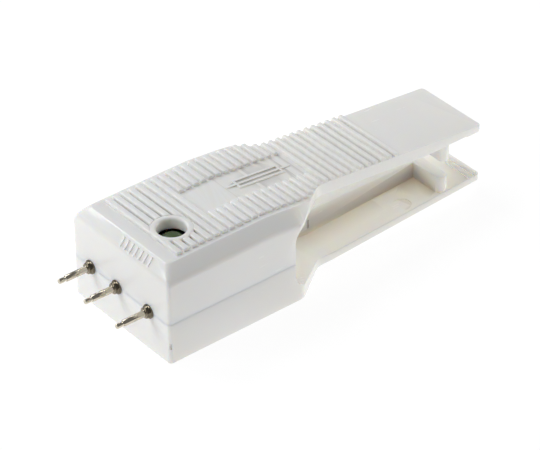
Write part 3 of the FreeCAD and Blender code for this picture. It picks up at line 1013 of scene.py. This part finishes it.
def makeBoardMaterial():
    # Green solder resist over a woven board.
    material, tree, shader = startMaterial("boardGreen")
    grain = useGroup(tree, grainGroup, Scale=3800.0, Ripple=0.4)
    place = addNode(tree, "ShaderNodeTexCoord").outputs["Object"]
    weave = addNode(tree, "ShaderNodeTexWave", wave_type="BANDS", bands_direction="DIAGONAL")
    weave.inputs["Scale"].default_value = 900.0
    weave.inputs["Distortion"].default_value = 1.0
    tree.links.new(place, weave.inputs["Vector"])
    woven = mathNode(tree, "MULTIPLY", weave.outputs["Fac"], 0.3)
    base = mixColour(tree, woven, (0.012, 0.11, 0.035), (0.03, 0.19, 0.07))
    base = mixColour(tree, mathNode(tree, "MULTIPLY", grain.outputs["Mask"], 0.25), base, (0.05, 0.16, 0.05))
    tree.links.new(base, shader.inputs["Base Color"])
    tree.links.new(rangeNode(tree, grain.outputs["Mask"], 0.28, 0.45), shader.inputs["Roughness"])
    shader.inputs["Coat Weight"].default_value = 0.3
    addBump(tree, weave.outputs["Fac"], shader, 0.1, 0.00002)
    return material


def makeLampMaterial():
    # Dark green tinted epoxy, a little cloudy.
    material, tree, shader = startMaterial("lampEpoxy")
    grain = useGroup(tree, grainGroup, Scale=1500.0, Ripple=0.8)
    base = mixColour(tree, grain.outputs["Mask"], (0.045, 0.08, 0.028), (0.08, 0.13, 0.045))
    tree.links.new(base, shader.inputs["Base Color"])
    tree.links.new(rangeNode(tree, grain.outputs["Mask"], 0.16, 0.3), shader.inputs["Roughness"])
    shader.inputs["IOR"].default_value = 1.54
    shader.inputs["Coat Weight"].default_value = 0.15
    addBump(tree, grain.outputs["Height"], shader, 0.05, 0.00002)
    return material


def makeResistorMaterial():
    # A black chip with a dull face.
    material, tree, shader = startMaterial("resistorBlack")
    grain = useGroup(tree, grainGroup, Scale=6000.0, Ripple=0.3)
    base = mixColour(tree, grain.outputs["Mask"], (0.012, 0.012, 0.013), (0.035, 0.034, 0.033))
    tree.links.new(base, shader.inputs["Base Color"])
    tree.links.new(rangeNode(tree, grain.outputs["Mask"], 0.3, 0.5), shader.inputs["Roughness"])
    addBump(tree, grain.outputs["Height"], shader, 0.1, 0.00001)
    return material


white = makeWhitePlastic("whitePlastic", 0.5, 0.001)
creamy = makeWhitePlastic("hollowPlastic", 1.0, 0.0022)
bronze = makeMetal("probeBronze", (0.52, 0.47, 0.38), (0.62, 0.565, 0.465), 0.14, 4000.0, bump=0.004,
                   root={"fromX": -0.0119, "toX": -0.0117, "colour": (0.17, 0.145, 0.105)})
tipMetal = makeMetal("tipBronze", (0.50, 0.45, 0.36), (0.60, 0.55, 0.45), 0.15, 4000.0, bump=0.004)
springSteel = makeMetal("springSteel", (0.42, 0.41, 0.39), (0.6, 0.59, 0.57), 0.25, 7000.0)
cellSteel = makeMetal("cellSteel", (0.55, 0.55, 0.54), (0.72, 0.72, 0.70), 0.28, 5200.0)
clipSteel = makeMetal("clipSteel", (0.48, 0.46, 0.42), (0.66, 0.64, 0.58), 0.3, 6000.0)
copper = makeMetal("copperPad", (0.55, 0.24, 0.12), (0.78, 0.40, 0.22), 0.3, 6000.0)
tin = makeMetal("tinnedLead", (0.50, 0.50, 0.49), (0.68, 0.68, 0.66), 0.3, 6000.0)
solder = makeMetal("solder", (0.42, 0.42, 0.43), (0.6, 0.6, 0.6), 0.34, 4200.0, bump=0.3)
boardGreen = makeBoardMaterial()
lampEpoxy = makeLampMaterial()
resistorBlack = makeResistorMaterial()
print("materials made")

upper = makeUpperCasing()
finishPiece(upper, white, None, ["upper_shell", "upper_jaw"])
lineHollow(upper, creamy, insideUpper)
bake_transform(upper)
print("upper casing made")

lower = makeLowerCasing()
finishPiece(lower, white, "case", ["lower_shell"])
lineHollow(lower, creamy, insideLower)
print("lower casing made")

for place, y in probePlaces.items():
    finishPiece(makeBarrel("barrel_" + place, y), bronze, "case", ["probe_barrel_" + place], 28)
    finishPiece(makeTip("tip_" + place, y), tipMetal, "tip_" + place, ["probe_tip_" + place], 28)
finishPiece(makeLamp(), lampEpoxy, "case", ["led"], 30)
print("probes and lamp made")

keptNodes = {
    "circuit_board": boardGreen, "led_leads": tin, "led_solder": solder, "coin_cell": cellSteel,
    "battery_pad": copper, "battery_clip": clipSteel, "resistor": resistorBlack, "probe_solder": solder,
    "probe_spring_regular": springSteel, "probe_spring_mini": springSteel, "probe_spring_common": springSteel,
}
for node, material in keptNodes.items():
    kept = bpy.data.objects[node]
    kept.data.materials.clear()
    kept.data.materials.append(material)
print("inner pieces finished")

camera = {
    "place": (-0.188237, -0.251853, 0.235235), "azimuth": -38.65, "elevation": 35.53, "roll": -0.69,
    "lens": 202.893, "sensorWidth": 36,
}


def placeCamera():
    a, e, r = (math.radians(camera[k]) for k in ("azimuth", "elevation", "roll"))
    back = Vector((math.sin(a) * math.cos(e), -math.cos(a) * math.cos(e), math.sin(e)))
    side = Vector((0, 0, 1)).cross(back).normalized()
    up = back.cross(side)
    right = side * math.cos(r) + up * math.sin(r)
    high = up * math.cos(r) - side * math.sin(r)
    turn = Matrix((right, high, back)).transposed()
    data = bpy.data.cameras.new("camera")
    data.sensor_width = camera["sensorWidth"]
    data.lens = camera["lens"]
    eye = bpy.data.objects.new("camera", data)
    bpy.context.scene.collection.objects.link(eye)
    eye.matrix_world = Matrix.Translation(camera["place"]) @ turn.to_4x4()
    bpy.context.scene.camera = eye


studio = {
    "key": {"place": (-0.06, 0.33, 0.34), "aim": (0.016, 0, 0.01), "size": (0.3, 0.3), "energy": 1.22,
            "colour": (0.97, 0.985, 1.0)},
    "frontFill": {"place": (-0.36, 0.15, 0.26), "aim": (-0.005, 0, 0.01), "size": (0.2, 0.16), "energy": 0.62,
                  "colour": (0.96, 0.98, 1.0)},
    "rearFill": {"place": (0.37, -0.12, 0.15), "aim": (0.024, 0, 0.006), "size": (0.22, 0.2), "energy": 0.6,
                 "colour": (1.0, 0.995, 0.97)},
    "room": (0.96, 0.97, 1.0), "roomStrength": 0.2, "floorGlow": 0.9,
}


def addSoftbox(name, place, aim, size, energy, colour):
    data = bpy.data.lights.new(name, "AREA")
    data.shape = "RECTANGLE"
    data.size, data.size_y = size
    data.energy = energy
    data.color = colour
    box = bpy.data.objects.new(name, data)
    bpy.context.scene.collection.objects.link(box)
    box.location = place
    box.rotation_euler = (Vector(aim) - Vector(place)).to_track_quat("-Z", "Y").to_euler()


def addFloor():
    # A glowing white table, which is not part of the tool.
    deselectAll()
    bpy.ops.mesh.primitive_plane_add(size=3.0, location=(0, 0, 0))
    floor = bpy.context.object
    floor.name = "floor"
    material, tree, shader = startMaterial("paleFloor")
    grain = useGroup(tree, grainGroup, Scale=300.0, Ripple=0.2)
    base = mixColour(tree, grain.outputs["Mask"], (0.15, 0.15, 0.15), (0.16, 0.16, 0.16))
    tree.links.new(base, shader.inputs["Base Color"])
    shader.inputs["Roughness"].default_value = 0.8
    shader.inputs["Specular IOR Level"].default_value = 0.1
    shader.inputs["Emission Color"].default_value = (1, 1, 1, 1)
    shader.inputs["Emission Strength"].default_value = studio["floorGlow"]
    floor.data.materials.append(material)


def lightStudio():
    for name in ("key", "frontFill", "rearFill"):
        addSoftbox(name, **studio[name])
    world = bpy.data.worlds.new("room")
    bpy.context.scene.world = world
    world.use_nodes = True
    back = world.node_tree.nodes["Background"]
    back.inputs["Color"].default_value = (*studio["room"], 1)
    back.inputs["Strength"].default_value = studio["roomStrength"]
    bpy.context.scene.view_settings.view_transform = "Standard"


placeCamera()
addFloor()
lightStudio()
print("camera, floor and lights placed")
